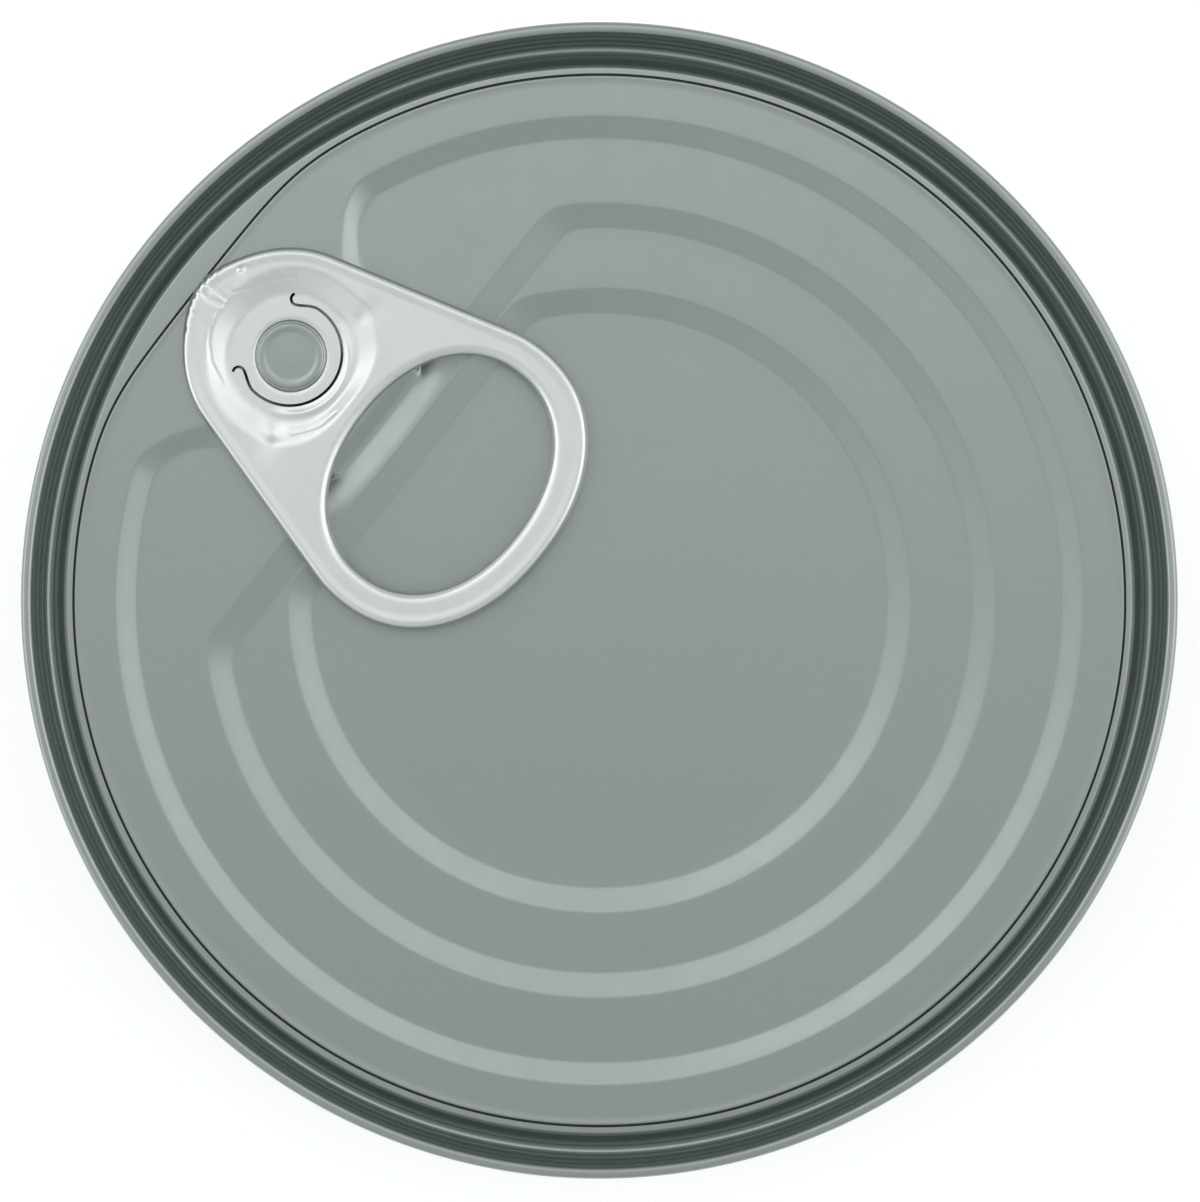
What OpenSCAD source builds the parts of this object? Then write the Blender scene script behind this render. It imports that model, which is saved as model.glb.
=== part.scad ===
// Round drawn food can, shut, with a full-opening ring-pull end.
// Origin at the middle of the base, +Z up, the pull tab's nose towards +Y.
// Lengths in millimetres.

/* [Can] */
// Diameter over the double seam, the widest place
seam_d = 87.3; // [84:0.1:92]
// Height from the foot to the top of the seam
can_h = 36.5; // [30:0.5:60]
// Height of the double seam
seam_h = 3; // [2.6:0.1:3.4]
// Thickness of the double seam
seam_t = 0.9; // [0.85:0.05:1.05]
// Radius of the edge between the base and the wall
base_edge_r = 3; // [2:0.5:4]
// How far the middle of the base is pressed in
base_rise = 1; // [0.6:0.1:1.5]

/* [End] */
// Depth of the groove beside the seam, below the seam's top
groove_depth = 4.8; // [4.6:0.1:5]
// Depth of the end's outer ring, below the seam's top
panel_depth = 3.2; // [3.1:0.1:3.3]
// Drop of each of the three steps towards the middle
step_drop = 0.42; // [0.3:0.02:0.44]
// Radius of the floor inside the outer step
outer_step_r = 35.2; // [34.5:0.1:35.8]
// Radius of the floor inside the middle step
middle_step_r = 28.4; // [27.5:0.1:29]
// Radius of the floor inside the inner step
inner_step_r = 21.95; // [21.3:0.05:22.5]
// Width of a step's slope
step_run = 1.8; // [1.2:0.1:2]
// Distance from the middle to the inner step's straight side
inner_chord = 17.25; // [16.5:0.05:18]
// Run of the slope on a straight side
chord_run = 2.1; // [1.5:0.1:2.4]
// Depth of the score line
score_depth = 0.1; // [0.05:0.01:0.15]
// Width of the score line
score_w = 0.16; // [0.1:0.02:0.3]

/* [Pull tab] */
// Distance from the middle of the can to the rivet
rivet_y = 29.85; // [29.5:0.05:30.1]
// Radius of the rivet's head
rivet_head_r = 2.62; // [2.5:0.02:2.9]
// Radius of the tab's nose about the rivet
nose_r = 8.2; // [7.8:0.05:8.4]
// Half width of the finger ring
ring_half_w = 12.2; // [11.6:0.05:12.8]
// Half length of the finger ring
ring_half_l = 9.65; // [9.3:0.05:10]
// Distance from the middle of the can to the finger ring's middle
ring_y = 15.27; // [15:0.01:15.5]
// Width of the finger ring's limb
limb_w = 2.55; // [2.4:0.05:2.8]
// Height of the tab's rolled edge
tab_h = 1.35; // [1.1:0.05:1.5]

/* [Hidden] */
$fn = 96;

seam_r = seam_d / 2;
seam_low_z = can_h - seam_h;
seam_overhang = 0.55;
wall_r = seam_r - seam_overhang;
wall_t = 0.2;
plug_r = wall_r - wall_t;

// Levels of the end's face, from the outer ring down to the middle
panel_z = can_h - panel_depth;
outer_floor_z = panel_z - step_drop;
middle_floor_z = outer_floor_z - step_drop;
inner_floor_z = middle_floor_z - step_drop;
groove_z = can_h - groove_depth;

// Underside of the end: lower under the groove than under the steps
end_t = 0.35;
plug_z = inner_floor_z - end_t;
groove_low_z = groove_z - end_t;

// Radii of the pressed groove beside the seam
chuck_top_r = seam_r - seam_t;
groove_r = 0.37;
chuck_run = 0.33;
groove_mid_r = chuck_top_r - chuck_run - groove_r;
panel_edge_round = 1.2;
panel_edge_r = groove_mid_r - groove_r;
groove_back_r = panel_edge_r - panel_edge_round - end_t;

// The score line, and the distance by which its straight stretch cuts inside the ring
score_inset = 3.68;
score_cut = 1.27;
score_r = seam_r - score_inset;
score_chord = score_r - score_cut;

// Straight sides of the two inner steps: the middle one starts where the inner one ends
chord_gap = 0.1;
middle_chord = inner_chord + chord_run + chord_gap;

// The raised land that carries the rivet, and the hollow in front of it
land_half_w = 8.3;
land_low_y = 22.6;
land_neck_y = 30.5;
land_flare = 3.6;
land_corner_r = 2;
hollow_half_w = 8.6;
hollow_drop = 0.35;

// The tab: its web lies a little below the top of its rolled edge
tab_gap = 0.02;
tab_z = panel_z + tab_gap;
web_t = 0.35;
web_sink = 0.15;
tab_web_z = tab_z + tab_h - web_sink - web_t;
well_floor_z = panel_z + web_t;
well_lap = 0.2;
well_bend = 0.15;
well_top_r = 5.9;
well_low_r = 4.6;
rivet_shank_r = 2.1;
rivet_head_t = 0.55;
slit_r = 4;
slit_w = 0.2;
slit_open = 34;
slit_forward = 0.3;
hook_r = 0.5;
hole_extra_l = 0.25;
hole_forward = 0.15;
hole_half_w = ring_half_w - limb_w;
hole_half_l = ring_half_l - limb_w + hole_extra_l;
hole_y = ring_y + hole_forward;
roll_w = 1;
roll_round = 0.3;
hole_roll_lift = 0.1;
oval_power = 2.15;
tab_lean = 16;
oval_start = 14.4;

// Points on an arc about c, from angle a to angle b, in n steps
function arc(c, r, a, b, n) = [for (i = [0:n]) c + r * [cos(a + (b - a) * i / n), sin(a + (b - a) * i / n)]];

// One point on a squared-off oval of half width w and half length l
function oval_point(w, l, t) = [
    w * sign(cos(t)) * pow(abs(cos(t)), 2 / oval_power),
    l * sign(sin(t)) * pow(abs(sin(t)), 2 / oval_power)
];
function oval(w, l, y, a, b, n) = [for (i = [0:n]) [0, y] + oval_point(w, l, a + (b - a) * i / n)];

// Outline of the tab, drawn in by inset: round nose, straight flanks and the oval ring end
function tab_outline(inset) = concat(
    arc([0, rivet_y], nose_r - inset, tab_lean, 180 - tab_lean, 24),
    oval(ring_half_w - inset, ring_half_l - inset, ring_y, 180 - oval_start, 360 + oval_start, 40)
);
function finger_hole(grow) = oval(hole_half_w + grow, hole_half_l + grow, hole_y, 0, 354, 59);

// Section of the drawn can, filled up to the underside of the end
module can_body() {
    foot_w = 6.5;
    foot_in_r = wall_r - base_edge_r - foot_w;
    foot_slope = 1.6;
    bead_r = 20;
    bead_half_w = 1.6;
    bead_depth = 0.5;
    color([0.66, 0.68, 0.67])
        rotate_extrude($fn = 180)
            polygon(concat(
                [
                    [0, base_rise],
                    [bead_r - bead_half_w, base_rise],
                    [bead_r, base_rise - bead_depth],
                    [bead_r + bead_half_w, base_rise],
                    [foot_in_r - foot_slope, base_rise],
                    [foot_in_r, 0]
                ],
                arc([wall_r - base_edge_r, base_edge_r], base_edge_r, -90, 0, 8),
                [
                    [wall_r, seam_low_z],
                    [plug_r, seam_low_z],
                    [plug_r, groove_low_z],
                    [groove_back_r, groove_low_z],
                    [groove_back_r, plug_z],
                    [0, plug_z]
                ]
            ));
}

// Section of the end before its steps are pressed in: double seam, groove and outer ring
module end_blank() {
    seam_top_r = seam_t / 2;
    hem_r = 0.35;
    rotate_extrude($fn = 180)
        polygon(concat(
            [
                [0, plug_z],
                [groove_back_r, plug_z],
                [groove_back_r, groove_low_z],
                [plug_r, groove_low_z],
                [plug_r, seam_low_z],
                [wall_r, seam_low_z]
            ],
            arc([seam_r - hem_r, seam_low_z + hem_r], hem_r, -90, 0, 4),
            arc([seam_r - seam_top_r, can_h - seam_top_r], seam_top_r, 0, 180, 12),
            arc([groove_mid_r, groove_z + groove_r], groove_r, 0, -180, 8),
            arc([panel_edge_r - panel_edge_round, panel_z - panel_edge_round], panel_edge_round, 0, 90, 4),
            [[0, panel_z]]
        ));
}

// What one step takes away: a dish with a sloping rim, reaching to the top of the end
module round_dish(floor_r, floor_z, run) {
    rotate_extrude($fn = 180)
        polygon([
            [0, floor_z],
            [floor_r, floor_z],
            [floor_r + run, floor_z + step_drop],
            [floor_r + run, can_h],
            [0, can_h]
        ]);
}

// Everything on the can's side of a sloping straight line
module chord_side(chord, floor_z) {
    rotate([90, 0, 90])
        translate([0, 0, -seam_r])
            linear_extrude(seam_d)
                polygon([
                    [-seam_r, floor_z - 1],
                    [chord, floor_z - 1],
                    [chord, floor_z],
                    [chord + chord_run, floor_z + step_drop],
                    [chord + chord_run, can_h],
                    [-seam_r, can_h]
                ]);
}

module chord_dish(floor_r, floor_z, chord) {
    intersection() {
        round_dish(floor_r, floor_z, step_run);
        chord_side(chord, floor_z);
    }
}

// The land that keeps the outer ring's level around the rivet
module rivet_land() {
    far_y = outer_step_r + 2 * step_run;
    corner_x = land_half_w - land_corner_r;
    corner_y = land_low_y + land_corner_r;
    translate([0, 0, plug_z])
        linear_extrude(panel_z - plug_z)
            polygon(concat(
                arc([corner_x, corner_y], land_corner_r, -90, 0, 6),
                [
                    [land_half_w, land_neck_y],
                    [land_half_w + land_flare, land_neck_y + land_flare],
                    [land_half_w + land_flare, far_y],
                    [-land_half_w - land_flare, far_y],
                    [-land_half_w - land_flare, land_neck_y + land_flare],
                    [-land_half_w, land_neck_y]
                ],
                arc([-corner_x, corner_y], land_corner_r, 180, 270, 6)
            ));
}

// The hollow between the inner steps' straight sides and the rivet's land
module finger_hollow() {
    crest_y = inner_chord + chord_run;
    deep_y = crest_y + chord_run;
    rotate([90, 0, 90])
        translate([0, 0, -hollow_half_w])
            linear_extrude(2 * hollow_half_w)
                polygon([
                    [crest_y, middle_floor_z],
                    [deep_y, middle_floor_z - hollow_drop],
                    [land_low_y, middle_floor_z - hollow_drop],
                    [land_low_y, can_h],
                    [crest_y, can_h]
                ]);
}

// The score line: a fine ring with one straight stretch at the tab's nose
module score_line() {
    translate([0, 0, panel_z - score_depth])
        linear_extrude(1)
            difference() {
                intersection() {
                    circle(r = score_r + score_w / 2, $fn = 180);
                    translate([-seam_r, -seam_r])
                        square([seam_d, seam_r + score_chord + score_w / 2]);
                }
                intersection() {
                    circle(r = score_r - score_w / 2, $fn = 180);
                    translate([-seam_r, -seam_r])
                        square([seam_d, seam_r + score_chord - score_w / 2]);
                }
            }
}

// The rivet is formed from the end's own metal
module rivet() {
    root_z = panel_z - 0.5;
    head_z = well_floor_z + rivet_head_t;
    rim_w = 0.35;
    dish_slope = 0.2;
    dish_z = head_z - 0.1;
    translate([0, rivet_y, 0])
        rotate_extrude()
            polygon([
                [0, root_z],
                [rivet_shank_r, root_z],
                [rivet_shank_r, well_floor_z],
                [rivet_head_r, well_floor_z],
                [rivet_head_r, well_floor_z + rivet_head_t / 2],
                [rivet_head_r - rim_w, head_z],
                [rivet_head_r - 2 * rim_w, head_z],
                [rivet_head_r - 2 * rim_w - dish_slope, dish_z],
                [0, dish_z]
            ]);
}

module can_end() {
    color([0.57, 0.6, 0.6]) {
        difference() {
            end_blank();
            difference() {
                union() {
                    round_dish(outer_step_r, outer_floor_z, step_run);
                    chord_dish(middle_step_r, middle_floor_z, middle_chord);
                    chord_dish(inner_step_r, inner_floor_z, inner_chord);
                    finger_hollow();
                }
                rivet_land();
            }
            score_line();
        }
        rivet();
    }
}

// A closed band between two tab outlines
module edge_band(z, h, inset) {
    translate([0, 0, z])
        linear_extrude(h)
            difference() {
                polygon(tab_outline(inset));
                polygon(tab_outline(roll_w));
            }
}

// The rolled outer edge, rounded in three layers
module outer_roll() {
    edge_band(tab_z, roll_round, roll_round);
    edge_band(tab_z + roll_round, tab_h - 2 * roll_round, 0);
    edge_band(tab_z + tab_h - roll_round, roll_round, roll_round);
}

// The rolled edge round the finger hole
module hole_roll() {
    translate([0, 0, tab_z + hole_roll_lift])
        linear_extrude(tab_h - web_sink)
            difference() {
                polygon(finger_hole(roll_w));
                polygon(finger_hole(0));
            }
}

// The flat web, with its opening for the stamped well
module web() {
    translate([0, 0, tab_web_z])
        linear_extrude(web_t)
            difference() {
                polygon(tab_outline(roll_w / 2));
                polygon(finger_hole(roll_w / 2));
                translate([0, rivet_y])
                    circle(r = well_top_r);
            }
}

// The stamped well: a dish that brings the web down to the rivet's land
module well() {
    translate([0, rivet_y, 0])
        rotate_extrude()
            polygon([
                [rivet_shank_r, well_floor_z - web_t],
                [well_low_r, well_floor_z - web_t],
                [well_top_r + well_lap, tab_web_z],
                [well_top_r + well_lap, tab_web_z + web_t],
                [well_top_r, tab_web_z + web_t],
                [well_low_r - well_bend, well_floor_z],
                [rivet_shank_r, well_floor_z]
            ]);
}

// The C-shaped slit round the rivet, with a short hook at each end
module slit() {
    hook_out = slit_r + hook_r;
    translate([0, rivet_y + slit_forward, panel_z - 1])
        linear_extrude(can_h - panel_z) {
            polygon(concat(
                arc([0, 0], slit_r + slit_w / 2, 180 - slit_open, 360 + slit_open, 60),
                arc([0, 0], slit_r - slit_w / 2, 360 + slit_open, 180 - slit_open, 60)
            ));
            for (side = [0, 1])
                mirror([side, 0])
                    translate(hook_out * [cos(slit_open), sin(slit_open)])
                        polygon(concat(
                            arc([0, 0], hook_r + slit_w / 2, slit_open + 180, slit_open + 40, 12),
                            arc([0, 0], hook_r - slit_w / 2, slit_open + 40, slit_open + 180, 12)
                        ));
        }
}

module pull_tab() {
    color([0.84, 0.85, 0.86])
        difference() {
            union() {
                outer_roll();
                hole_roll();
                web();
                well();
            }
            slit();
        }
}

can_body();
can_end();
pull_tab();
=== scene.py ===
import math
import bpy
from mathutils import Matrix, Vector


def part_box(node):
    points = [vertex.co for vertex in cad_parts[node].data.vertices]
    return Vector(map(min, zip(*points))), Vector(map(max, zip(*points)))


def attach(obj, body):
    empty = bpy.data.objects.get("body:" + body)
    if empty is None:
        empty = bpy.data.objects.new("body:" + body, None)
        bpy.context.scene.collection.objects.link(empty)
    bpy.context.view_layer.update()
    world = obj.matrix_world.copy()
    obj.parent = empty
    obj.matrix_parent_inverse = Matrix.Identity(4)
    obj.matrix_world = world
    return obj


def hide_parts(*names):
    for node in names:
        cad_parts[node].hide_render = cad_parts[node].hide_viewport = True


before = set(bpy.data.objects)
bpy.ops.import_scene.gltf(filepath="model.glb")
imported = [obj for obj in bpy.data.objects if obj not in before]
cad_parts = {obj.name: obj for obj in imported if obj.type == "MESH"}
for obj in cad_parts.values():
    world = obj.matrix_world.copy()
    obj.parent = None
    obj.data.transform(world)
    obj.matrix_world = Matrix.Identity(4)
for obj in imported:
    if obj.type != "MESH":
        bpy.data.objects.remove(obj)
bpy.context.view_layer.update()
print("frame loaded:", sorted(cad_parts))

mm = 0.001
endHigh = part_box("can_end")[1]
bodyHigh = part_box("can_body")[1]
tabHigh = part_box("pull_tab")[1]
seamR = round(endHigh.x / mm, 2)       # over the double seam, in mm like every size below
seamTop = round(endHigh.z / mm, 2)     # the can's height
wallR = round(bodyHigh.x / mm, 2)
seamFoot = round(bodyHigh.z / mm, 2)   # lower edge of the seam, where the wall comes out
tabTop = round(tabHigh.z / mm, 2)


def deselectAll():
    if bpy.context.object and bpy.context.object.mode != "OBJECT":
        bpy.ops.object.mode_set(mode="OBJECT")
    bpy.ops.object.select_all(action="DESELECT")


def pickFaces(piece, test):
    # selects the faces whose centre (in mm) and normal pass the test, and leaves the piece in edit mode
    bpy.ops.object.mode_set(mode="EDIT")
    bpy.ops.mesh.select_mode(type="FACE")
    bpy.ops.mesh.select_all(action="DESELECT")
    bpy.ops.object.mode_set(mode="OBJECT")
    for face in piece.data.polygons:
        face.select = test(face.center / mm, face.normal)
    bpy.ops.object.mode_set(mode="EDIT")


def pickEdges(piece, test):
    # the same for edges: the test sees both ends, in mm
    bpy.ops.object.mode_set(mode="EDIT")
    bpy.ops.mesh.select_mode(type="EDGE")
    bpy.ops.mesh.select_all(action="DESELECT")
    bpy.ops.object.mode_set(mode="OBJECT")
    points = piece.data.vertices
    for edge in piece.data.edges:
        edge.select = test(points[edge.vertices[0]].co / mm, points[edge.vertices[1]].co / mm)
    bpy.ops.object.mode_set(mode="EDIT")


def radius(point):
    return math.hypot(point.x, point.y)


def atRing(r, z, slack=0.02):
    # a test for the ring of edges at radius r and height z
    def test(a, b):
        return all(abs(radius(p) - r) < slack and abs(p.z - z) < slack for p in (a, b))
    return test


def smoothStep(low, high, value):
    t = min(max((value - low) / (high - low), 0), 1)
    return t * t * (3 - 2 * t)


def softRamp(t, ease):
    # 0 up to 1 in a straight slope with rounded shoulders
    if t <= -ease:
        return 0
    if t < ease:
        return (t + ease) ** 2 / (4 * ease)
    if t <= 1 - ease:
        return t
    if t < 1 + ease:
        return 1 - (1 + ease - t) ** 2 / (4 * ease)
    return 1


def arcPoints(centre, r, start, end, steps):
    # points on an arc, angles in degrees
    turn = [math.radians(start + (end - start) * i / steps) for i in range(steps + 1)]
    return [(centre[0] + r * math.cos(a), centre[1] + r * math.sin(a)) for a in turn]


def spinSection(name, section, steps):
    # draws a section (radius, height) by extruding one point along, and spins it about the can's axis
    deselectAll()
    first = section[0]
    bpy.ops.mesh.primitive_plane_add(size=mm, location=(first[0] * mm, 0, first[1] * mm))
    piece = bpy.context.object
    piece.name = name
    piece.data.name = name
    bpy.ops.object.transform_apply(location=True, rotation=True, scale=True)
    bpy.ops.object.mode_set(mode="EDIT")
    bpy.ops.mesh.select_mode(type="VERT")
    bpy.ops.mesh.select_all(action="SELECT")
    bpy.ops.mesh.merge(type="CENTER")
    for (r0, z0), (r1, z1) in zip(section, section[1:]):
        step = ((r1 - r0) * mm, 0, (z1 - z0) * mm)
        bpy.ops.mesh.extrude_vertices_move(TRANSFORM_OT_translate={"value": step})
    bpy.ops.mesh.select_all(action="SELECT")
    bpy.ops.mesh.spin(steps=steps, angle=math.tau, center=(0, 0, 0), axis=(0, 0, 1))
    bpy.ops.mesh.select_all(action="SELECT")
    bpy.ops.mesh.remove_doubles(threshold=0.004 * mm)
    bpy.ops.mesh.normals_make_consistent(inside=False)
    bpy.ops.object.mode_set(mode="OBJECT")
    return piece


def finishPiece(piece, node):
    deselectAll()
    bpy.context.view_layer.objects.active = piece
    piece.select_set(True)
    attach(piece, "root")
    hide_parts(node)
    print("made", piece.name, len(piece.data.polygons), "faces")


def startMaterial(name, look):
    material = bpy.data.materials.new(name)
    material.use_nodes = True
    nodes = material.node_tree.nodes
    shader = nodes["Principled BSDF"]
    shader.inputs["Metallic"].default_value = look["metallic"]
    shader.inputs["Specular IOR Level"].default_value = look["specular"]
    return material, nodes, material.node_tree.links, shader


def addNoise(nodes, links, place, scale, detail=2.0, stretch=(1, 1, 1), turn=0):
    mapping = nodes.new("ShaderNodeMapping")
    mapping.inputs["Scale"].default_value = stretch
    mapping.inputs["Rotation"].default_value = (0, 0, math.radians(turn))
    noise = nodes.new("ShaderNodeTexNoise")
    noise.inputs["Scale"].default_value = scale
    noise.inputs["Detail"].default_value = detail
    links.new(place, mapping.inputs["Vector"])
    links.new(mapping.outputs["Vector"], noise.inputs["Vector"])
    return noise.outputs["Fac"]


def spread(nodes, links, value, low, high, fromLow=0.3, fromHigh=0.7):
    # maps a noise value onto a range
    mapRange = nodes.new("ShaderNodeMapRange")
    mapRange.inputs["From Min"].default_value = fromLow
    mapRange.inputs["From Max"].default_value = fromHigh
    mapRange.inputs["To Min"].default_value = low
    mapRange.inputs["To Max"].default_value = high
    links.new(value, mapRange.inputs["Value"])
    return mapRange.outputs["Result"]


def addBump(nodes, links, height, depth, normal=None):
    # depth in mm for the full swing of the pattern
    bump = nodes.new("ShaderNodeBump")
    bump.inputs["Strength"].default_value = 1
    bump.inputs["Distance"].default_value = depth * mm
    links.new(height, bump.inputs["Height"])
    if normal:
        links.new(normal, bump.inputs["Normal"])
    return bump.outputs["Normal"]


def mixColours(nodes, links, share, first, second):
    mix = nodes.new("ShaderNodeMix")
    mix.data_type = "RGBA"
    links.new(share, mix.inputs["Factor"])
    for socket, colour in ((mix.inputs[6], first), (mix.inputs[7], second)):
        if isinstance(colour, tuple):
            socket.default_value = (*colour, 1)
        else:
            links.new(colour, socket)
    return mix.outputs[2]


endLacquer = {
    "colour": (0.312, 0.348, 0.342), "tint": (0.302, 0.338, 0.333),
    "metallic": 0.95, "specular": 0.5, "rough": (0.28, 0.31),
    "peel": 0.0012, "sway": 0.010, "grain": 0.0012,
}

bodyLacquer = {
    "colour": (0.330, 0.364, 0.358), "tint": (0.318, 0.352, 0.347),
    "metallic": 0.7, "specular": 0.5, "rough": (0.30, 0.33),
    "peel": 0.0012, "sway": 0.010, "grain": 0.0,
}


def makeLacquer(name, look, grainStretch):
    material, nodes, links, shader = startMaterial(name, look)
    place = nodes.new("ShaderNodeTexCoord").outputs["Object"]
    broad = addNoise(nodes, links, place, 70, 3)
    patch = addNoise(nodes, links, place, 420, 3)
    peel = addNoise(nodes, links, place, 2600, 2)
    grain = addNoise(nodes, links, place, 900, 3, grainStretch, 25)
    share = spread(nodes, links, patch, 0, 1)
    links.new(mixColours(nodes, links, share, look["colour"], look["tint"]), shader.inputs["Base Color"])
    links.new(spread(nodes, links, patch, *look["rough"]), shader.inputs["Roughness"])
    normal = addBump(nodes, links, broad, look["sway"])
    normal = addBump(nodes, links, peel, look["peel"], normal)
    if look["grain"]:
        normal = addBump(nodes, links, grain, look["grain"], normal)
    links.new(normal, shader.inputs["Normal"])
    return material


def makePaintedCutShade():
    # bare metal at the bottom of the score, its colour near black as painted shade for the shade down in the
    # narrow cut; the walls of the tab's slit take it too
    look = {"metallic": 0.7, "specular": 0.4}
    material, nodes, links, shader = startMaterial("paintedCutShade", look)
    place = nodes.new("ShaderNodeTexCoord").outputs["Object"]
    patch = addNoise(nodes, links, place, 1500, 2)
    share = spread(nodes, links, patch, 0, 1)
    dark = mixColours(nodes, links, share, (0.030, 0.033, 0.034), (0.050, 0.054, 0.055))
    links.new(dark, shader.inputs["Base Color"])
    links.new(spread(nodes, links, patch, 0.4, 0.6), shader.inputs["Roughness"])
    return material


tabMetal = {
    "colour": (0.625, 0.650, 0.652), "tint": (0.605, 0.631, 0.634),
    "metallic": 1.0, "specular": 0.5, "rough": (0.28, 0.34),
    "roll": 0.0008, "sway": 0.006, "pit": 0.001,
}


def makeTabMetal():
    look = tabMetal
    material, nodes, links, shader = startMaterial("tabAluminium", look)
    place = nodes.new("ShaderNodeTexCoord").outputs["Object"]
    patch = addNoise(nodes, links, place, 650, 4)
    broad = addNoise(nodes, links, place, 180, 2)
    rolled = addNoise(nodes, links, place, 2200, 3, (1, 0.06, 1))
    pits = addNoise(nodes, links, place, 5200, 2)
    share = spread(nodes, links, patch, 0, 1)
    links.new(mixColours(nodes, links, share, look["colour"], look["tint"]), shader.inputs["Base Color"])
    links.new(spread(nodes, links, rolled, *look["rough"]), shader.inputs["Roughness"])
    normal = addBump(nodes, links, broad, look["sway"])
    normal = addBump(nodes, links, rolled, look["roll"], normal)
    normal = addBump(nodes, links, pits, look["pit"], normal)
    links.new(normal, shader.inputs["Normal"])
    return material


body = {
    "around": 256, "edgeRound": 3.0, "footWidth": 6.5, "pressSlope": 1.6, "pressDepth": 1.0,
    "beadR": 20.0, "beadHalf": 1.6, "beadDepth": 0.5, "middleR": 6, "pressRound": 0.55,
    "fill": 31.3, "levels": (8, 14, 20, 26, 31),
}


def makeCanBody():
    deselectAll()
    bpy.ops.mesh.primitive_cylinder_add(
        vertices=body["around"], radius=wallR * mm, depth=seamFoot * mm,
        location=(0, 0, seamFoot / 2 * mm))
    can = bpy.context.object
    can.name = can.data.name = "canBody"
    bpy.ops.object.transform_apply(location=True, rotation=True, scale=True)

    # the drawn edge between base and wall
    pickEdges(can, atRing(wallR, 0))
    bpy.ops.mesh.bevel(offset=body["edgeRound"] * mm, segments=12, profile=0.5, affect="EDGES")

    # foot ring, pressed-in base and its bead, by insets of the base's face
    pickFaces(can, lambda c, n: n.z < -0.99 and radius(c) < 1)
    insets = [
        (body["footWidth"], 0), (body["pressSlope"], -body["pressDepth"]),
    ]
    innerR = wallR - body["edgeRound"] - body["footWidth"] - body["pressSlope"]
    insets += [
        (innerR - body["beadR"] - body["beadHalf"], 0),
        (body["beadHalf"], body["beadDepth"]), (body["beadHalf"], -body["beadDepth"]),
        (body["beadR"] - body["beadHalf"] - body["middleR"], 0), (body["middleR"] - 1, 0),
    ]
    for thickness, depth in insets:
        bpy.ops.mesh.inset(thickness=thickness * mm, depth=depth * mm, use_even_offset=False)
    bpy.ops.mesh.merge(type="CENTER")

    # soften what was pressed
    footIn = wallR - body["edgeRound"] - body["footWidth"]
    press = body["pressDepth"]
    rings = [
        (footIn, 0), (innerR, press), (body["beadR"] + body["beadHalf"], press),
        (body["beadR"], press - body["beadDepth"]), (body["beadR"] - body["beadHalf"], press),
    ]
    tests = [atRing(r, z, 0.05) for r, z in rings]
    pickEdges(can, lambda a, b: any(test(a, b) for test in tests))
    bpy.ops.mesh.bevel(offset=body["pressRound"] * mm, segments=4, profile=0.5, affect="EDGES")

    # the open top goes down inside the seam, to the underside of the end
    pickFaces(can, lambda c, n: n.z > 0.99 and c.z > seamFoot - 1)
    bpy.ops.mesh.inset(thickness=0.2 * mm, depth=0)
    bpy.ops.mesh.inset(thickness=0.05 * mm, depth=(body["fill"] - seamFoot) * mm)

    # a few level rings up the wall, so that long faces don't shade badly
    for height in body["levels"]:
        bpy.ops.mesh.select_all(action="SELECT")
        bpy.ops.mesh.bisect(plane_co=(0, 0, height * mm), plane_no=(0, 0, 1))
    bpy.ops.object.mode_set(mode="OBJECT")
    bpy.ops.object.shade_smooth_by_angle(angle=math.radians(40))
    can.data.materials.append(makeLacquer("bodyLacquer", bodyLacquer, (1, 1, 0.03)))
    finishPiece(can, "can_body")


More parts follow.
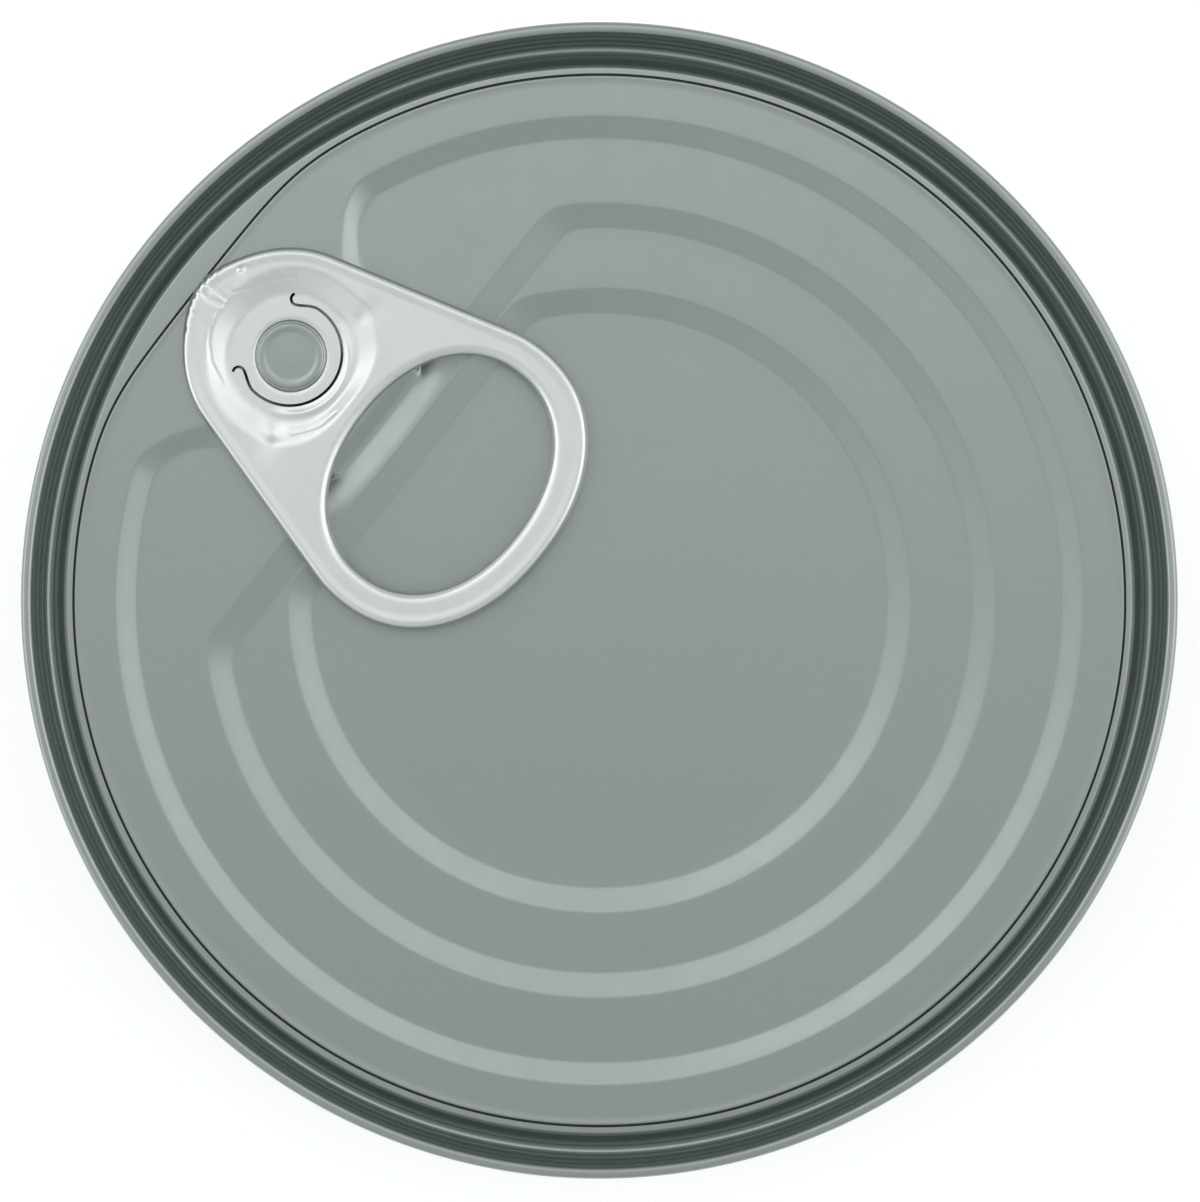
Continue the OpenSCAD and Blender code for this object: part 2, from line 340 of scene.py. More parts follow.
end = {
    "around": 480,
    # double seam and chuck wall: radii and depths below the seam's top
    "seamRound": 0.34, "lipRound": 0.28, "seamIn": 42.84, "seamStraight": 1.1,
    "hemRound": 0.3, "hemTuck": 0.3, "hemGap": 0.25,
    "chuckWall": [(42.80, 1.4), (42.78, 2.75), (42.72, 2.87), (42.58, 3.05), (42.54, 3.15)],
    "grooveR": 0.40, "grooveMid": 41.93, "grooveDepth": 4.8,
    "edgeR": 40.34, "edgeRound": 0.5, "edgeSlope": 55, "panelDepth": 3.2, "underside": 5.15,
    # steps towards the middle: floor radius, run, straight side (or none) and how tight its corners are
    "drop": 0.42, "ease": 0.07,
    "steps": [
        {"floor": 35.2, "run": 1.6, "chord": None, "chordRun": 0, "tight": 1},
        {"floor": 28.4, "run": 1.8, "chord": 19.5, "chordRun": 2.1, "tight": 60},
        {"floor": 21.95, "run": 1.8, "chord": 17.2, "chordRun": 2.0, "tight": 90},
    ],
    "flatRings": [5, 13, 4],
    # land under the rivet: narrow at its low end, straight, and flared into the outer ring
    "landLow": 21.4, "landSlope": 1.55, "landCorner": 1.4, "blendLand": 2.2,
    "landHalf": 5.5, "landHalfFrom": 22.2, "landWidens": 0.6, "landHalfMost": 7.6,
    "landFlareFrom": 29.6, "landFlare": 0.62, "landFlarePower": 1.45,
    "sideSteepness": (0.75, 1.6), "sideEases": (22, 26),
    # hollow behind the steps' straight sides: its crest bows, and it fades out sideways and under the land
    "hollowCrest": 19.4, "hollowBow": 0.012, "hollowRun": 2.0, "hollowEase": 0.2, "hollowDrop": 0.38,
    "hollowHalf": (5.2, 9.4), "hollowFades": (23.5, 27),
    # ring drawn down round the rivet
    "coinR": 4, "coinHalf": 0.7, "coinDepth": 0.45,
    # score line: half widths at its top and bottom, and a low lip on its inner side
    "score": {"r": 39.97, "chord": 38.72, "tight": 75, "half": 0.085, "bottomHalf": 0.02, "depth": 0.10,
              "lipIn": 0.17, "lip": 0.03, "outside": 0.24, "inside": 0.3},
    # where the pressing is fine: half width, nearest and farthest y, and radius
    "fine": {"halfW": 14, "low": 19, "high": 38.2, "r": 37.4},
}


def dShape(r, chord, tight, angle):
    # distance from the axis to a circle cut by a straight line at y = chord, with rounded corners
    if chord is None or math.sin(angle) < 0.05:
        return r
    straight = chord / math.sin(angle)
    return r * (1 + (r / straight) ** tight) ** (-1 / tight)


def softMax(a, b, blend):
    gap = max(blend - abs(a - b), 0) / blend
    return max(a, b) + gap * gap * blend / 4


def landHalfWidth(y):
    # half the width of the land at its mid-slope
    half = end["landHalf"] + max(y - end["landHalfFrom"], -1) * end["landWidens"]
    flare = end["landFlare"] * max(y - end["landFlareFrom"], 0) ** end["landFlarePower"]
    return min(half, end["landHalfMost"]) + flare


def intoLand(x, y):
    # how far a place is inside the land, negative outside
    gentle, extra = end["sideSteepness"]
    side = (landHalfWidth(y) - abs(x)) * (gentle + extra * (1 - smoothStep(*end["sideEases"], y)))
    low = y - end["landLow"] - end["landSlope"] / 2
    return -softMax(-side, -low, end["landCorner"])


def pressedHeight(x, y):
    # height of the pressed panel at a place, in mm
    r = math.hypot(x, y)
    angle = math.atan2(y, x)
    panel = seamTop - end["panelDepth"]
    floor = panel - 3 * end["drop"]
    height = floor
    for step in end["steps"][1:]:
        low = dShape(step["floor"], step["chord"], step["tight"], angle)
        high = dShape(step["floor"] + step["run"], step["chord"] + step["chordRun"], step["tight"], angle)
        height += end["drop"] * softRamp((r - low) / (high - low), end["ease"])

    # the hollow takes the place of the middle step behind the finger hole
    if y > end["hollowCrest"] - 1:
        share = (1 - smoothStep(*end["hollowHalf"], abs(x))) * (1 - smoothStep(*end["hollowFades"], y))
        crest = end["hollowCrest"] + end["hollowBow"] * x * x
        down = softRamp((y - crest) / end["hollowRun"], end["hollowEase"])
        hollow = floor + end["drop"] - end["hollowDrop"] * down
        height += (min(hollow, height) - height) * share

    # the outer step runs round the land, which lies wholly on the tab's side
    outer = end["steps"][0]
    slope = outer["run"]
    past = r - outer["floor"] - slope / 2
    if y > 15:      # mm towards the tab's nose
        inside = intoLand(x, y)
        past = softMax(past, inside * slope / end["landSlope"], end["blendLand"])
    lift = softRamp(past / slope + 0.5, end["ease"])
    height += (panel - height) * lift

    # the ring drawn down round the rivet, under the tab's slit
    ring = math.hypot(x, y - rivet["y"])
    return height - end["coinDepth"] * math.exp(-((ring - end["coinR"]) / end["coinHalf"]) ** 4)


def endRings():
    # every ring as (outline, outline, share of the way), from the panel's edge inwards
    score = end["score"]
    half, bottom = score["half"], score["bottomHalf"]
    edge = (end["edgeR"], None, 1)
    rings = [(edge, edge, 0)]
    for off in (score["outside"], half, bottom, -bottom, -half, -score["lipIn"], -score["inside"]):
        previous = (score["r"] + off, score["chord"] + off, score["tight"])
        rings.append((previous, previous, 0))
    ease = end["ease"]
    slopeShares = [1 + ease, 1 + ease / 2, 1, 1 - ease / 2, 1 - ease, 0.65, 0.35]
    slopeShares += [ease, ease / 2, 0, -ease / 2, -ease]
    for step, count in zip(end["steps"], end["flatRings"]):
        low = (step["floor"], step["chord"], step["tight"])
        high = (step["floor"] + step["run"], step["chord"] and step["chord"] + step["chordRun"], step["tight"])
        top = (low, high, 1 + ease)
        rings += [(previous, top, i / count) for i in range(1, count)]
        rings += [(low, high, t) for t in slopeShares]
        previous = (low, high, -ease)
    middle = ((0, None, 1), (0, None, 1), 0)
    rings += [(previous, middle, t) for t in (0.12, 0.3, 0.5, 0.7, 0.85, 0.95, 1)]
    return rings


def outlineRadius(ring, angle):
    # rings may lie between outlines or between other rings
    if len(ring) == 3 and isinstance(ring[0], tuple):
        a, b, t = ring
        return outlineRadius(a, angle) * (1 - t) + outlineRadius(b, angle) * t
    return dShape(*ring, angle)


def endSection(ringR):
    # section as (radius, height): hem, seam, chuck wall, groove, panel as far as the middle, and the underside
    panel = seamTop - end["panelDepth"]
    hem, top, lip = end["hemRound"], end["seamRound"], end["lipRound"]
    inHem = (wallR - end["hemTuck"], seamFoot + end["hemGap"])
    section = [inHem, (wallR - 0.02, inHem[1]), (wallR + 0.03, seamFoot + 0.06)]
    section += arcPoints((seamR - hem, seamFoot + hem), hem, -110, 0, 7)
    section += [(seamR, seamFoot + end["seamStraight"]), (seamR, seamTop - end["seamStraight"])]
    section += arcPoints((seamR - top, seamTop - top), top, 0, 85, 7)
    section += arcPoints((end["seamIn"] + lip, seamTop - lip), lip, 95, 180, 6)
    section += [(r, seamTop - down) for r, down in end["chuckWall"]]
    grooveR, slope, edgeRound = end["grooveR"], end["edgeSlope"], end["edgeRound"]
    grooveMiddle = (end["grooveMid"], seamTop - end["grooveDepth"] + grooveR)
    section += arcPoints(grooveMiddle, grooveR, -8, -90 - slope, 12)
    section += arcPoints((end["edgeR"], panel - edgeRound), edgeRound, 90 - slope, 83, 7)
    section += [(r, panel) for r in ringR]
    base = seamTop - end["underside"]
    return section + [(0, base), (20, base), (wallR - 0.35, base), inHem]


def offScore(x, y):
    # how far outside the score's middle line a place is
    score = end["score"]
    return math.hypot(x, y) - dShape(score["r"], score["chord"], score["tight"], math.atan2(y, x))


def makeCanEnd():
    rings = endRings()
    ringR = [outlineRadius(ring, -math.pi / 2) for ring in rings]      # where every outline is still round
    canEnd = spinSection("canEnd", endSection(ringR), end["around"])
    panel, panelR = seamTop - end["panelDepth"], max(ringR)

    def onPanel(place):
        return place.z >= (panel - 0.01) * mm and radius(place) / mm <= panelR + 0.01

    # pull the rings in to the straight sides of the steps and of the score
    byRadius = {round(r, 3): ring for r, ring in zip(ringR, rings)}
    for point in canEnd.data.vertices:
        r = radius(point.co) / mm
        if not onPanel(point.co) or r < 0.01:
            continue
        key = min(byRadius, key=lambda k: abs(k - r))
        angle = math.atan2(point.co.y, point.co.x)
        moved = outlineRadius(byRadius[key], angle) / key
        point.co.x *= moved
        point.co.y *= moved

    # finer faces where the land, the hollow and the diagonals are pressed
    fine = end["fine"]
    pickFaces(canEnd, lambda c, n: c.z > panel - 0.01 and abs(c.x) < fine["halfW"]
              and fine["low"] < c.y < fine["high"] and radius(c) < fine["r"])
    bpy.ops.mesh.subdivide(number_cuts=2)
    bpy.ops.object.mode_set(mode="OBJECT")

    # press the panel, its score and the score's lip
    score = end["score"]
    for point in canEnd.data.vertices:
        if not onPanel(point.co):
            continue
        x, y = point.co.x / mm, point.co.y / mm
        height = pressedHeight(x, y)
        off = offScore(x, y)
        if abs(off) < 2 * score["bottomHalf"]:
            height -= score["depth"]
        elif abs(off + score["lipIn"]) < 0.04:
            height += score["lip"]
        point.co.z = height * mm

    canEnd.data.materials.append(makeLacquer("endLacquer", endLacquer, (1, 0.05, 1)))
    canEnd.data.materials.append(makePaintedCutShade())
    # faces down in the score take the near-black painted shade
    for face in canEnd.data.polygons:
        centre = face.center / mm
        if centre.z > panel - 0.3 and abs(offScore(centre.x, centre.y)) < score["half"]:
            face.material_index = 1
    deselectAll()
    bpy.context.view_layer.objects.active = canEnd
    canEnd.select_set(True)
    bpy.ops.object.shade_smooth_by_angle(angle=math.radians(55))
    finishPiece(canEnd, "can_end")


rivet = {
    "around": 96, "y": 29.85, "headR": 2.53, "foot": 33.4, "top": 34.42,
    # a flat rim, a short slope down into the dish, and the dish's own rise towards its middle
    "rimIn": 2.08, "dish": 0.06, "dishSlope": 0.22, "riseRun": 0.9, "rise": 0.03, "middleRun": 0.6,
    "rimRound": 0.2, "rimInRound": 0.1, "dishRound": 0.12,
}


def makeRivet():
    deselectAll()
    height = rivet["top"] - rivet["foot"]
    bpy.ops.mesh.primitive_cylinder_add(
        vertices=rivet["around"], radius=rivet["headR"] * mm, depth=height * mm,
        location=(0, rivet["y"] * mm, (rivet["foot"] + height / 2) * mm))
    head = bpy.context.object
    head.name = head.data.name = "endRivet"
    bpy.ops.object.transform_apply(location=True, rotation=True, scale=True)

    # the head's top: rounded rim, then a shallow dish
    pickFaces(head, lambda c, n: n.z > 0.99)
    bpy.ops.mesh.inset(thickness=(rivet["headR"] - rivet["rimIn"]) * mm, depth=0)
    bpy.ops.mesh.inset(thickness=rivet["dishSlope"] * mm, depth=-rivet["dish"] * mm)
    bpy.ops.mesh.inset(thickness=rivet["riseRun"] * mm, depth=rivet["rise"] * mm)
    bpy.ops.mesh.inset(thickness=rivet["middleRun"] * mm, depth=0)
    middle = Vector((0, rivet["y"], 0))
    top = rivet["top"]

    def ringEdge(r, z):
        def test(a, b):
            return all(abs((p - middle).xy.length - r) < 0.02 and abs(p.z - z) < 0.02 for p in (a, b))
        return test

    pickEdges(head, ringEdge(rivet["headR"], top))
    bpy.ops.mesh.bevel(offset=rivet["rimRound"] * mm, segments=5, profile=0.55, affect="EDGES")
    pickEdges(head, ringEdge(rivet["rimIn"], top))
    bpy.ops.mesh.bevel(offset=rivet["rimInRound"] * mm, segments=3, profile=0.5, affect="EDGES")
    pickEdges(head, ringEdge(rivet["rimIn"] - rivet["dishSlope"], top - rivet["dish"]))
    bpy.ops.mesh.bevel(offset=rivet["dishRound"] * mm, segments=3, profile=0.5, affect="EDGES")
    bpy.ops.object.mode_set(mode="OBJECT")
    bpy.ops.object.shade_smooth_by_angle(angle=math.radians(50))
    head.data.materials.append(bpy.data.materials["endLacquer"])
    finishPiece(head, "can_end")


tab = {
    "noseR": 8.24, "noseY": 29.85, "point": 0.62, "pointHalf": 3.3, "lean": 16,
    "ringHalfW": 12.36, "ringHalfL": 9.84, "ringY": 15.27, "ovalStart": 14.4, "squareness": 2.15,
    "holeHalfW": 9.65, "holeHalfL": 7.35, "holeY": 15.42,
    "sheet": 0.28, "webSink": 0.035, "webFlat": 0.08,
    "outerRoll": {"half": (0.52, 0.675), "curl": -135, "fall": 1.15, "around": 600},
    "holeRoll": {"half": (0.70, 0.60), "curl": -140, "fall": 0.80, "around": 300},
    # stamped well round the rivet: each edge's half width, then half length and squareness at either end
    "wellAround": 320, "wellFloor": 34.15, "wellEase": 0.18, "rivetHole": 2.05,
    "wellFoot": {"halfW": 4.9, "noseSide": (4.75, 2.05), "ringSide": (4.88, 2.3)},
    "wellRim": {"halfW": 6.55, "noseSide": (6.25, 2.15), "ringSide": (5.74, 2.6)},
    "terrace": {"lift": 0.10, "from": (3.75, 4.45)}, "bead": {"r": 4.42, "half": 0.22, "lift": 0.06},
    "pinch": {"out": 0.08, "half": 0.11, "depth": 0.14},
    # marks from pressing and handling: lines of places with half width and depth, then round dents
    "creases": [
        {"line": [(-4.9, 32.6), (-4.1, 34.3), (-3.1, 35.3), (-2, 36.0), (-1, 36.4)],
         "half": 0.10, "depth": 0.045},
        {"line": [(1.1, 36.2), (2.1, 35.4), (3.3, 34.7), (4.4, 33.8), (5.1, 33.1)],
         "half": 0.10, "depth": 0.03},
        {"line": [(-4.6, 26.1), (-3.6, 25.3), (-2.8, 24.8), (-1.2, 24.5)], "half": 0.08, "depth": 0.03},
        {"line": [(-0.42, 38.7), (-0.5, 37.4), (-0.2, 36.3)], "half": 0.13, "depth": 0.09},
        {"line": [(0.36, 38.7), (0.34, 37.6), (0.26, 36.4)], "half": 0.12, "depth": 0.07},
    ],
    "dents": [
        {"at": (-5.6, 27.3), "r": 0.85, "depth": 0.17}, {"at": (5.85, 27.4), "r": 0.7, "depth": 0.10},
        {"at": (-3.43, 37.4), "r": 0.16, "depth": 0.16}, {"at": (2.75, 36.9), "r": 0.17, "depth": 0.16},
        {"at": (2.95, 36.78), "r": 0.12, "depth": 0.12}, {"at": (0, 37.9), "r": 0.5, "depth": 0.05},
    ],
    # the worn nose: half its width, its swing, and waves as (turns, start, share)
    "noseWorn": 2.3, "noseSwing": 0.075, "noseWaves": [(9.1, 0.7, 0.5), (21.3, 0, 0.32), (37.7, 1.3, 0.25)],
    "marksFrom": 23.9,
}


def ovalPoint(halfW, halfL, middleY, angle):
    # a slightly squared oval
    power = 2 / tab["squareness"]
    c, s = math.cos(angle), math.sin(angle)
    return halfW * math.copysign(abs(c) ** power, c), middleY + halfL * math.copysign(abs(s) ** power, s)


def evenLoop(points, count):
    # count points at even spacing round a closed outline, each with its inward direction
    loop = points + points[:1]
    along = [0]
    for a, b in zip(loop, loop[1:]):
        along.append(along[-1] + math.dist(a, b))
    places, at = [], 0
    for i in range(count):
        want = along[-1] * i / count
        while along[at + 1] < want:
            at += 1
        t = (want - along[at]) / (along[at + 1] - along[at])
        places.append((loop[at][0] + t * (loop[at + 1][0] - loop[at][0]),
                       loop[at][1] + t * (loop[at + 1][1] - loop[at][1])))
    result = []
    for i, (x, y) in enumerate(places):
        (x0, y0), (x1, y1) = places[i - 2], places[(i + 2) % count]
        length = math.hypot(x1 - x0, y1 - y0)
        result.append((x, y, -(y1 - y0) / length, (x1 - x0) / length))
    return result


def tabOutline(count):
    # round nose, straight flanks and the oval ring end, anticlockwise
    nose = []
    for i in range(121):
        angle = math.radians(tab["lean"] + (180 - 2 * tab["lean"]) * i / 120)
        x, y = tab["noseR"] * math.cos(angle), tab["noseY"] + tab["noseR"] * math.sin(angle)
        nose.append((x, y + tab["point"] * math.exp(-(x / tab["pointHalf"]) ** 2)))
    start = math.radians(180 - tab["ovalStart"])
    stop = math.radians(360 + tab["ovalStart"])
    ring = [ovalPoint(tab["ringHalfW"], tab["ringHalfL"], tab["ringY"], start + (stop - start) * i / 240)
            for i in range(241)]
    return evenLoop(nose + ring, count)


def holeOutline(count):
    # clockwise, so that inward means into the metal
    halfW, halfL, middleY = tab["holeHalfW"], tab["holeHalfL"], tab["holeY"]
    points = [ovalPoint(halfW, halfL, middleY, -math.tau * i / 360) for i in range(360)]
    return evenLoop(points, count)


def rollSection(roll, top, web):
    # section of a rolled edge as (distance in from the outline, height), from the tucked-in end to the web
    halfW, halfH = roll["half"]
    section = []
    for i in range(17):
        angle = math.radians(roll["curl"] + (90 - roll["curl"]) * i / 16)
        section.append((halfW - halfW * math.cos(angle), top - halfH + halfH * math.sin(angle)))
    for i in range(1, 7):
        t = i / 6
        section.append((halfW + (roll["fall"] - halfW) * t, top + (web - top) * smoothStep(0, 1, t)))
    section.append((roll["fall"] + tab["webFlat"], web))
    return section


def wrapGrid(name, around, across, place):
    # wraps a flat grid into a closed band: place(i, j) gives each corner's new position in mm
    deselectAll()
    bpy.ops.mesh.primitive_grid_add(x_subdivisions=around, y_subdivisions=across, size=2)
    band = bpy.context.object
    band.name = band.data.name = name
    for point in band.data.vertices:
        i = round((point.co.x + 1) / 2 * around) % around
        j = round((point.co.y + 1) / 2 * across)
        point.co = Vector(place(i, j)) * mm
    bpy.ops.object.mode_set(mode="EDIT")
    bpy.ops.mesh.select_all(action="SELECT")
    bpy.ops.mesh.remove_doubles(threshold=0.002 * mm)
    bpy.ops.object.mode_set(mode="OBJECT")
    return band


def wellEdge(angle, edge):
    # radius about the rivet of the well's foot or of its rim
    c, s = math.cos(angle), math.sin(angle)
    halfL, power = edge["noseSide"] if s > 0 else edge["ringSide"]
    return (abs(c / edge["halfW"]) ** power + abs(s / halfL) ** power) ** (-1 / power)


def wellHeight(x, y, web):
    dx, dy = x, y - rivet["y"]
    r, angle = math.hypot(dx, dy), math.atan2(dy, dx)
    low, high = wellEdge(angle, tab["wellFoot"]), wellEdge(angle, tab["wellRim"])
    up = softRamp((r - low) / (high - low), tab["wellEase"])
    floor, terrace, bead, pinch = tab["wellFloor"], tab["terrace"], tab["bead"], tab["pinch"]
    height = floor + (web - floor) * up
    # a terrace and its bead at the foot of the slope on the ring's side
    side = smoothStep(0.25, 0.75, -math.sin(angle))
    height += side * terrace["lift"] * (1 - up) * smoothStep(*terrace["from"], r)
    height += side * bead["lift"] * math.exp(-((r - bead["r"]) / bead["half"]) ** 2)
    # pinched close round the rivet's head
    out = r - rivet["headR"] - pinch["out"]
    return height - pinch["depth"] * math.exp(-(out / pinch["half"]) ** 2)


def lineDistance(x, y, line):
    # distance from a place to a line of straight pieces
    best = 99
    for (x0, y0), (x1, y1) in zip(line, line[1:]):
        dx, dy = x1 - x0, y1 - y0
        t = min(max(((x - x0) * dx + (y - y0) * dy) / (dx * dx + dy * dy), 0), 1)
        best = min(best, math.hypot(x - x0 - t * dx, y - y0 - t * dy))
    return best


def tabMarks(x, y):
    # how much lower the marks leave the sheet at a place
    down = 0
    for crease in tab["creases"]:
        down += crease["depth"] * math.exp(-(lineDistance(x, y, crease["line"]) / crease["half"]) ** 2)
    for dent in tab["dents"]:
        down += dent["depth"] * math.exp(-(math.dist((x, y), dent["at"]) / dent["r"]) ** 2)
    return down


def noseWear(x):
    # the blunt, slightly torn front edge where the tab bears on the score
    share = math.exp(-(x / tab["noseWorn"]) ** 6)
    ragged = sum(part * math.sin(turns * x + start) for turns, start, part in tab["noseWaves"])
    return share * tab["noseSwing"] * ragged


def makeTab():
    web = tabTop - tab["webSink"]
    outerRoll, holeRoll = tab["outerRoll"], tab["holeRoll"]

    outline = tabOutline(outerRoll["around"])
    section = rollSection(outerRoll, tabTop, web)

    def outerPlace(i, j):
        x, y, inX, inY = outline[i]
        inward, z = section[j]
        if y > 37:
            edge = 1 - smoothStep(0.2, 0.9, inward)
            y += noseWear(x) * edge
            z -= 0.7 * noseWear(x + 0.4) * edge
        return x + inX * inward, y + inY * inward, z

    outer = wrapGrid("outerRoll", outerRoll["around"], len(section) - 1, outerPlace)

    hole = holeOutline(holeRoll["around"])
    holeSection = rollSection(holeRoll, tabTop - 0.04, web)

    def holePlace(i, j):
        x, y, inX, inY = hole[i]
        inward, z = holeSection[j]
        return x + inX * inward, y + inY * inward, z

    inner = wrapGrid("holeRoll", holeRoll["around"], len(holeSection) - 1, holePlace)

    # radii of the well's rings: close round the rivet's head, over the floor, and up the slope as shares of it
    collar = [tab["rivetHole"], 2.35, 2.46, 2.53, 2.60, 2.67, 2.74, 2.85, 3.1, 3.4]
    floorFrom, floorRings, ease = 3.7, 14, tab["wellEase"]
    slope = [-ease + (1 + 2 * ease) * i / 23 for i in range(24)]

    def wellPlace(i, j):
        angle = math.tau * i / tab["wellAround"]
        low, high = wellEdge(angle, tab["wellFoot"]), wellEdge(angle, tab["wellRim"])
        start = low - ease * (high - low)
        radii = collar + [floorFrom + (start - floorFrom) * i / floorRings for i in range(floorRings)]
        radii += [low + t * (high - low) for t in slope]
        radii.append(high + ease * (high - low) + 0.05)
        r = radii[j]
        x, y = r * math.cos(angle), rivet["y"] + r * math.sin(angle)
        z = web if j == len(radii) - 1 else wellHeight(x, y, web)
        return x, y, z

    across = len(collar) + floorRings + len(slope)
    well = wrapGrid("well", tab["wellAround"], across, wellPlace)

    # one sheet: join the bands and fill the flat web between them
    deselectAll()
    for band in (inner, well, outer):
        band.select_set(True)
    bpy.context.view_layer.objects.active = outer
    bpy.ops.object.join()
    sheet = bpy.context.object
    sheet.name = sheet.data.name = "pullTab"
    flat = web - 0.004

    # the three open rims that lie level with the web
    bpy.ops.object.mode_set(mode="EDIT")
    bpy.ops.mesh.select_mode(type="EDGE")
    bpy.ops.mesh.select_all(action="DESELECT")
    bpy.ops.mesh.select_non_manifold()
    bpy.ops.object.mode_set(mode="OBJECT")
    points = sheet.data.vertices
    for edge in sheet.data.edges:
        if edge.select and min(points[v].co.z for v in edge.vertices) / mm < flat:
            edge.select = False
    for point in points:
        point.select = False
    for edge in sheet.data.edges:
        if edge.select:
            for v in edge.vertices:
                points[v].select = True
    bpy.ops.object.mode_set(mode="EDIT")
    bpy.ops.mesh.select_mode(type="EDGE")
    bpy.ops.mesh.fill(use_beauty=True)
    bpy.ops.mesh.select_all(action="SELECT")
    bpy.ops.mesh.normals_make_consistent(inside=False)
    bpy.ops.object.mode_set(mode="OBJECT")
    up = sum(face.normal.z * face.area for face in sheet.data.polygons if face.center.z / mm > web - 0.01)
    if up < 0:
        bpy.ops.object.mode_set(mode="EDIT")
        bpy.ops.mesh.select_all(action="SELECT")
        bpy.ops.mesh.flip_normals()
        bpy.ops.object.mode_set(mode="OBJECT")

    # marks from pressing and handling
    for point in points:
        x, y = point.co.x / mm, point.co.y / mm
        if y > tab["marksFrom"] and point.co.z / mm > tab["wellFloor"] - 0.01:
            point.co.z -= tabMarks(x, y) * mm

    # the sheet's thickness, then the slit through it
    thick = sheet.modifiers.new("sheet", "SOLIDIFY")
    thick.thickness = tab["sheet"] * mm
    thick.offset = -1
    thick.use_even_offset = False
    bpy.ops.object.modifier_apply(modifier="sheet")
    sheet.data.materials.append(makeTabMetal())
    cutSlit(sheet)
    bpy.ops.object.shade_smooth_by_angle(angle=math.radians(50))
    finishPiece(sheet, "pull_tab")


slit = {
    "x": 0.1, "y": 30.05, "r": 3.98, "open": 6, "hook": (3.56, 2.12), "hookR": 0.44, "width": 0.22,
    "bendFromHook": (0.2, -0.5), "bendFromArc": (-0.08, 0.6),
}


def slitLine():
    # the middle line of the slit, from its right hook's tip round below the rivet to the left one's
    half = arcPoints(slit["hook"], slit["hookR"], 60, 200, 7)
    lower = arcPoints((0, 0), slit["r"], slit["open"], -90, 36)
    # an even bend from the hook into the long arc
    (x0, y0), (x3, y3) = half[-1], lower[0]
    (fromHookX, fromHookY), (fromArcX, fromArcY) = slit["bendFromHook"], slit["bendFromArc"]
    x1, y1, x2, y2 = x0 + fromHookX, y0 + fromHookY, x3 + fromArcX, y3 + fromArcY
    for t in (0.15, 0.3, 0.45, 0.6, 0.75, 0.9):
        u = 1 - t
        shares = (u ** 3, 3 * u * u * t, 3 * u * t * t, t ** 3)
        half.append((sum(a * b for a, b in zip(shares, (x0, x1, x2, x3))),
                     sum(a * b for a, b in zip(shares, (y0, y1, y2, y3)))))
    half += lower
    left = [(-x, y) for x, y in reversed(half[:-1])]
    return [(slit["x"] + x, slit["y"] + y) for x, y in half + left]


def cutSlit(sheet):
    line = slitLine()
    sides = []
    for i, (x, y) in enumerate(line):
        (x0, y0), (x1, y1) = line[max(i - 1, 0)], line[min(i + 1, len(line) - 1)]
        length = math.hypot(x1 - x0, y1 - y0)
        half = slit["width"] / 2
        sides.append((x, y, -(y1 - y0) / length * half, (x1 - x0) / length * half))
    outline = [(x + dx, y + dy) for x, y, dx, dy in sides]
    outline += [(x - dx, y - dy) for x, y, dx, dy in reversed(sides)]
    deselectAll()
    low = tab["wellFloor"] - 0.5
    bpy.ops.mesh.primitive_circle_add(vertices=len(outline), radius=mm, fill_type="NGON")
    knife = bpy.context.object
    for point, (x, y) in zip(knife.data.vertices, outline):
        point.co = (x * mm, y * mm, low * mm)
    bpy.ops.object.mode_set(mode="EDIT")
    bpy.ops.mesh.select_all(action="SELECT")
    bpy.ops.mesh.extrude_region_move(TRANSFORM_OT_translate={"value": (0, 0, mm)})
    bpy.ops.mesh.select_all(action="SELECT")
    bpy.ops.mesh.normals_make_consistent(inside=False)
    bpy.ops.object.mode_set(mode="OBJECT")
    # the knife's near-black painted shade goes to the slit's cut walls through the boolean
    knife.data.materials.append(bpy.data.materials["paintedCutShade"])
    deselectAll()
    bpy.context.view_layer.objects.active = sheet
    sheet.select_set(True)
    cut = sheet.modifiers.new("slit", "BOOLEAN")
    cut.operation = "DIFFERENCE"
    cut.solver = "EXACT"
    cut.material_mode = "TRANSFER"
    cut.object = knife
    bpy.ops.object.modifier_apply(modifier="slit")
    bpy.data.objects.remove(knife)


makeCanBody()
makeCanEnd()
makeRivet()
makeTab()


studio = {
    "cameraHeight": 400, "lens": 158.9, "turn": -51.6, "centre": (0.05, -0.05),
    "floor": (0.93, 0.935, 0.94), "floorGlow": 0.25, "lamp": (1, 0.98, 0.945),
    "sky": (0.97, 0.99, 1), "skyStrength": 0.74,
    "lights": [
        # turn from the camera's upper side and rise above the floor in degrees, then metres and watts
        {"name": "overTop", "turn": 0, "rise": 74, "away": 1.1, "size": (0.6, 0.5), "watts": 0.45},
        {"name": "highTopLeft", "turn": 45, "watts": 0.66},
        {"name": "highLeft", "turn": 90, "watts": 0.24},
        {"name": "highRight", "turn": 270, "watts": 0.60},
        {"name": "highTopRight", "turn": 315, "watts": 0.44},
        {"name": "highBottomLeft", "turn": 140, "watts": 0.13},
        {"name": "lowLeft", "turn": 90, "rise": 34, "away": 1.2, "size": (1.2, 0.6), "watts": 2.6},
        {"name": "lowRight", "turn": 270, "rise": 34, "away": 1.2, "size": (1.2, 0.6), "watts": 2.4},
    ],
    # where a light gives none of these
    "usual": {"rise": 57, "away": 1, "size": (0.5, 0.42)},
}


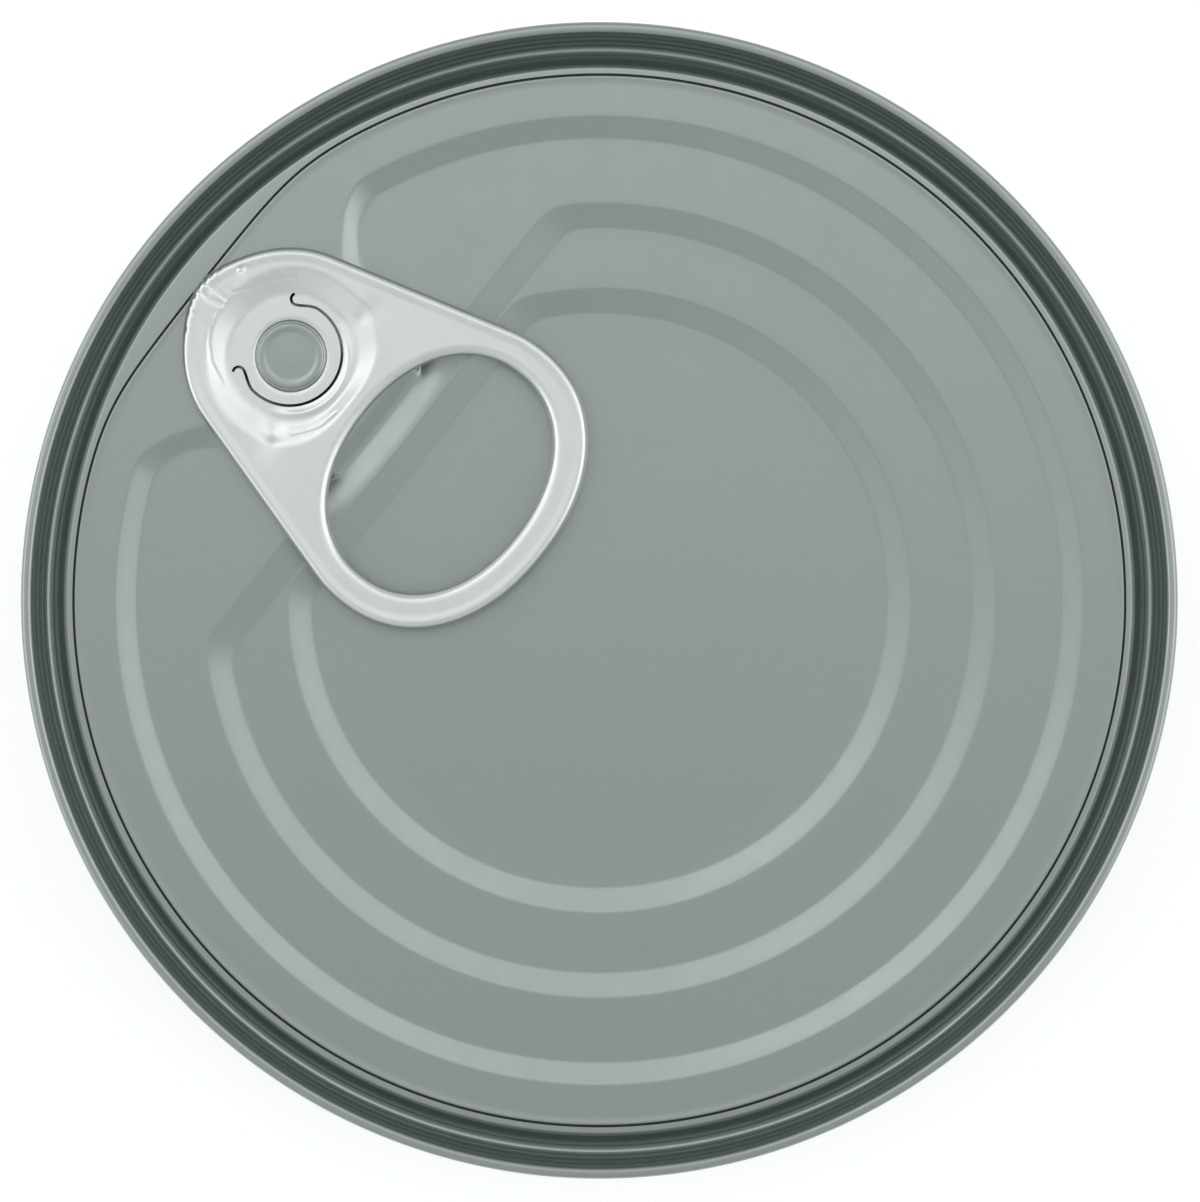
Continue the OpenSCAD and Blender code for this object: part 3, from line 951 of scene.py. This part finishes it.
def addCamera():
    turn = math.radians(studio["turn"])
    x, y = studio["centre"]
    place = Vector((
        (x * math.cos(turn) - y * math.sin(turn)) * mm,
        (x * math.sin(turn) + y * math.cos(turn)) * mm,
        (seamTop + studio["cameraHeight"]) * mm))
    bpy.ops.object.camera_add(location=place, rotation=(0, 0, turn))
    camera = bpy.context.object
    camera.name = "camera"
    camera.data.lens = studio["lens"]
    camera.data.sensor_width = 36
    camera.data.clip_start = 0.01
    bpy.context.scene.camera = camera


def addLights():
    upAngle = math.radians(studio["turn"] + 90)      # the camera's upper side, as an angle from +X
    for own in studio["lights"]:
        light = {**studio["usual"], **own}
        angle = upAngle + math.radians(light["turn"])
        rise = math.radians(light["rise"])
        toward = Vector((math.cos(angle) * math.cos(rise), math.sin(angle) * math.cos(rise), math.sin(rise)))
        bpy.ops.object.light_add(type="AREA", location=toward * light["away"])
        lamp = bpy.context.object
        lamp.name = light["name"]
        lamp.rotation_euler = toward.to_track_quat("Z", "Y").to_euler()
        lamp.data.shape = "RECTANGLE"
        lamp.data.size, lamp.data.size_y = light["size"]
        lamp.data.energy = light["watts"]
        lamp.data.color = studio["lamp"]


def addFloor():
    deselectAll()
    bpy.ops.mesh.primitive_plane_add(size=6, location=(0, 0, 0))
    floor = bpy.context.object
    floor.name = "floor"
    material = bpy.data.materials.new("paleFloor")
    material.use_nodes = True
    shader = material.node_tree.nodes["Principled BSDF"]
    shader.inputs["Base Color"].default_value = (*studio["floor"], 1)
    shader.inputs["Roughness"].default_value = 0.7
    shader.inputs["Emission Color"].default_value = (*studio["floor"], 1)
    shader.inputs["Emission Strength"].default_value = studio["floorGlow"]
    floor.data.materials.append(material)


def setWorld():
    world = bpy.data.worlds.new("softRoom")
    bpy.context.scene.world = world
    world.use_nodes = True
    back = world.node_tree.nodes["Background"]
    back.inputs["Color"].default_value = (*studio["sky"], 1)
    back.inputs["Strength"].default_value = studio["skyStrength"]
    bpy.context.scene.view_settings.view_transform = "Standard"


addCamera()
addLights()
addFloor()
setWorld()
print("studio ready")
